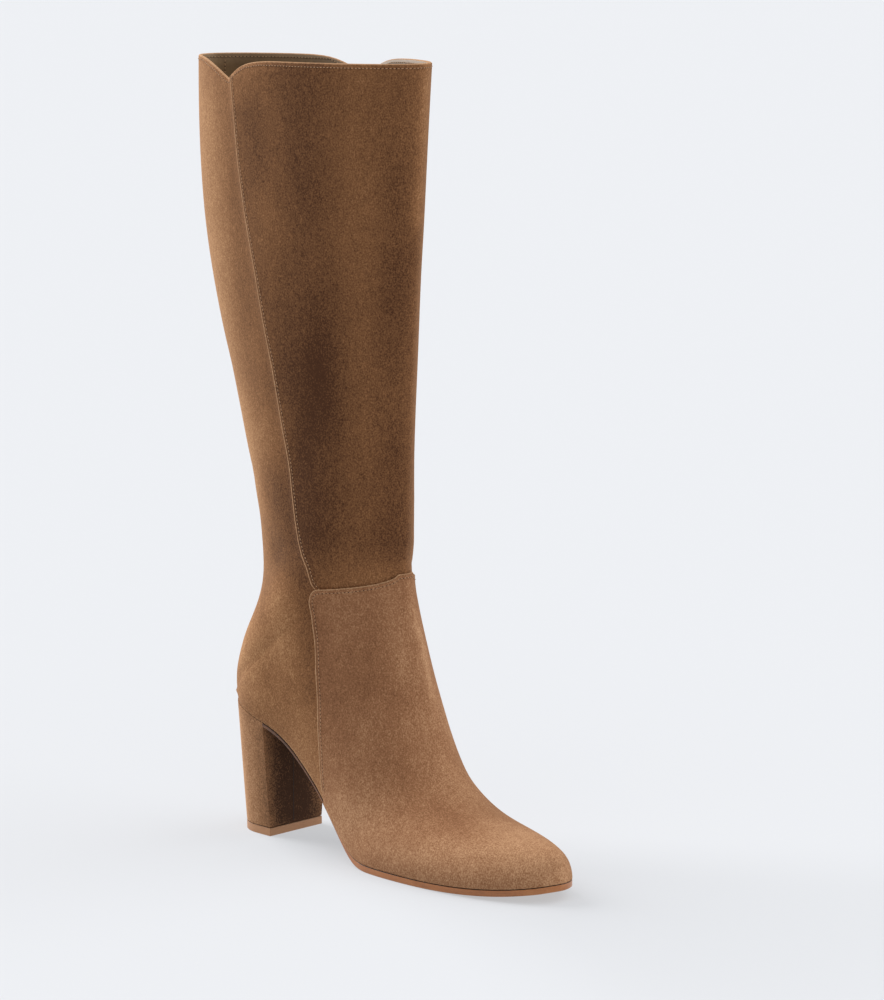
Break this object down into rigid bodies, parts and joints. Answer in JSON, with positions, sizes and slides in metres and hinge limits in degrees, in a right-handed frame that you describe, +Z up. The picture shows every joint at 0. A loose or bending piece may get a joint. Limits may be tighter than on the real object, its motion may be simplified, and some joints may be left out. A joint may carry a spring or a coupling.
{
  "type": "knee-high boot",
  "caption": "Right knee-high pull-on boot in suede: tall shaft with notched collar, lapped vamp panel, thin leather sole and covered block heel.",
  "frame": {"origin": "centre of the top lift's floor face, under the heel", "axes": "+X to the toe, +Y to the wearer's left, which is the medial side of this right boot, +Z up the shaft"},
  "size_m": [0.2744, 0.0763, 0.4321],
  "materials": {
    "suede_shaft": "brushed suede, mottled brown nap",
    "suede_vamp": "brushed suede, lighter tan nap",
    "suede_heel": "brushed suede over a solid heel",
    "lining_leather": "smooth matt lining leather",
    "sole_leather": "polished sole leather, darker at its upper edge",
    "lift_rubber": "smooth tan rubber"
  },
  "bodies": {
    "root": {"upper": "suede_shaft", "vamp_panel": "suede_vamp", "insole": "lining_leather", "outsole": "sole_leather", "heel_block": "suede_heel", "top_lift": "lift_rubber"}
  },
  "joints": []
}
